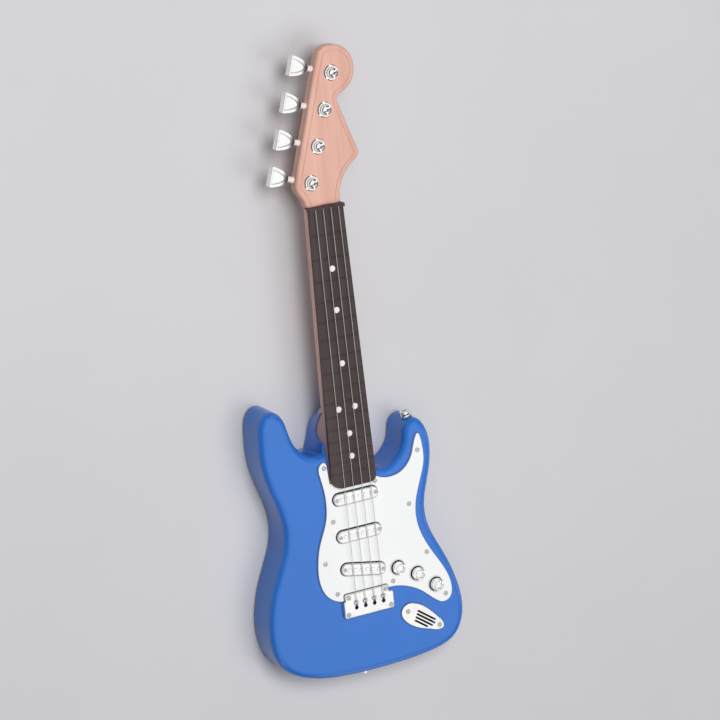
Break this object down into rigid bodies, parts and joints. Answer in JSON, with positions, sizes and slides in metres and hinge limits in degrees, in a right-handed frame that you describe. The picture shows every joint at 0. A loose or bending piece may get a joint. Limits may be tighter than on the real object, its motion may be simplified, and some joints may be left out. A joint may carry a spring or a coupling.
{
  "type": "toy electric guitar",
  "caption": "Toy electric guitar with a hollow double-cutaway body, bolted-on neck, wire strings, turning tuner knobs, push buttons, speaker and battery door.",
  "frame": {"origin": "bottom centre of the bounding box, on the plane of the body's flat back", "axes": "+Y along the neck from the body to the headstock, +X towards the treble side with the push buttons, +Z out of the face of the guitar, which lies on its back"},
  "size_m": [0.1866, 0.5554, 0.0461],
  "materials": {
    "blue_plastic": "high gloss moulded",
    "white_plastic": "high gloss moulded",
    "neck_plastic": "satin moulded with a faint wood grain",
    "board_plastic": "satin moulded",
    "dot_white": "glossy inlay",
    "chrome": "vacuum metallised plastic",
    "steel": "plated",
    "string_steel": "drawn wire",
    "black_plastic": "satin moulded",
    "board_green": "printed circuit laminate",
    "chip_black": "resin and small parts",
    "silicone": "soft silicone",
    "cone_paper": "pressed pulp",
    "cell_jacket": "printed steel can",
    "nickel": "nickel plated",
    "wire_red": "pvc insulation"
  },
  "bodies": {
    "guitar": {"battery_cell_1": "cell_jacket", "battery_cell_2": "cell_jacket", "battery_cell_3": "cell_jacket", "battery_contacts": "nickel", "battery_springs": "nickel", "battery_tray": "black_plastic", "battery_wires": "wire_red", "body_back_shell": "blue_plastic", "body_front_shell": "blue_plastic", "body_screws": "steel", "bridge_plate": "white_plastic", "bridge_screws": "steel", "button_dome_1": "silicone", "button_dome_2": "silicone", "button_dome_3": "silicone", "button_pcb": "board_green", "button_wires": "wire_red", "fret_markers": "dot_white", "fretboard": "board_plastic", "grille_plate": "white_plastic", "grille_screws": "steel", "headstock_face": "neck_plastic", "main_pcb": "board_green", "main_pcb_parts": "chip_black", "neck_screws": "steel", "neck_shell": "neck_plastic", "nut": "board_plastic", "pickguard": "white_plastic", "pickguard_screws": "steel", "pickup_cover_bridge": "white_plastic", "pickup_cover_middle": "white_plastic", "pickup_cover_neck": "white_plastic", "pickup_pole_pieces": "chrome", "pickup_screws": "steel", "speaker_cone": "cone_paper", "speaker_frame": "steel", "speaker_magnet": "steel", "speaker_wires": "wire_red", "strap_button_end": "chrome", "strap_button_horn": "chrome", "strap_button_screws": "steel", "string_1": "string_steel", "string_2": "string_steel", "string_3": "string_steel", "string_4": "string_steel", "string_anchor": "black_plastic", "tuner_bushings": "neck_plastic", "tuner_posts": "chrome"},
    "tuner_1": {"tuner_knob_1": "chrome"},
    "tuner_2": {"tuner_knob_2": "chrome"},
    "tuner_3": {"tuner_knob_3": "chrome"},
    "tuner_4": {"tuner_knob_4": "chrome"},
    "button_1": {"push_button_1": "white_plastic"},
    "button_2": {"push_button_2": "white_plastic"},
    "button_3": {"push_button_3": "white_plastic"},
    "door": {"battery_door": "blue_plastic", "battery_door_screw": "steel"}
  },
  "joints": [
    {"name": "tuner_1_turn", "type": "hinge", "parent": "guitar", "child": "tuner_1", "pos_m": [-0.03161, 0.17184, 0.0342], "axis": [-0.9532, 0.3024, 0], "continuous": true},
    {"name": "tuner_2_turn", "type": "hinge", "parent": "guitar", "child": "tuner_2", "pos_m": [-0.02224, 0.20139, 0.0342], "axis": [-0.9532, 0.3024, 0], "continuous": true},
    {"name": "tuner_3_turn", "type": "hinge", "parent": "guitar", "child": "tuner_3", "pos_m": [-0.01287, 0.23094, 0.0342], "axis": [-0.9532, 0.3024, 0], "continuous": true},
    {"name": "tuner_4_turn", "type": "hinge", "parent": "guitar", "child": "tuner_4", "pos_m": [-0.00349, 0.26049, 0.0342], "axis": [-0.9532, 0.3024, 0], "continuous": true},
    {"name": "button_1_press", "type": "slide", "parent": "guitar", "child": "button_1", "axis": [0, 0, -1], "range_m": [0, 0.002], "stiffness_N_per_m": 400, "springref_m": -0.0005, "deforming": ["button_dome_1"]},
    {"name": "button_2_press", "type": "slide", "parent": "guitar", "child": "button_2", "axis": [0, 0, -1], "range_m": [0, 0.002], "stiffness_N_per_m": 400, "springref_m": -0.0005, "deforming": ["button_dome_2"]},
    {"name": "button_3_press", "type": "slide", "parent": "guitar", "child": "button_3", "axis": [0, 0, -1], "range_m": [0, 0.002], "stiffness_N_per_m": 400, "springref_m": -0.0005, "deforming": ["button_dome_3"]},
    {"name": "battery_door_hinge", "type": "hinge", "parent": "guitar", "child": "door", "pos_m": [-0.01145, -0.16085, 0.00115], "axis": [1, 0, 0], "range_deg": [0, 75]}
  ]
}
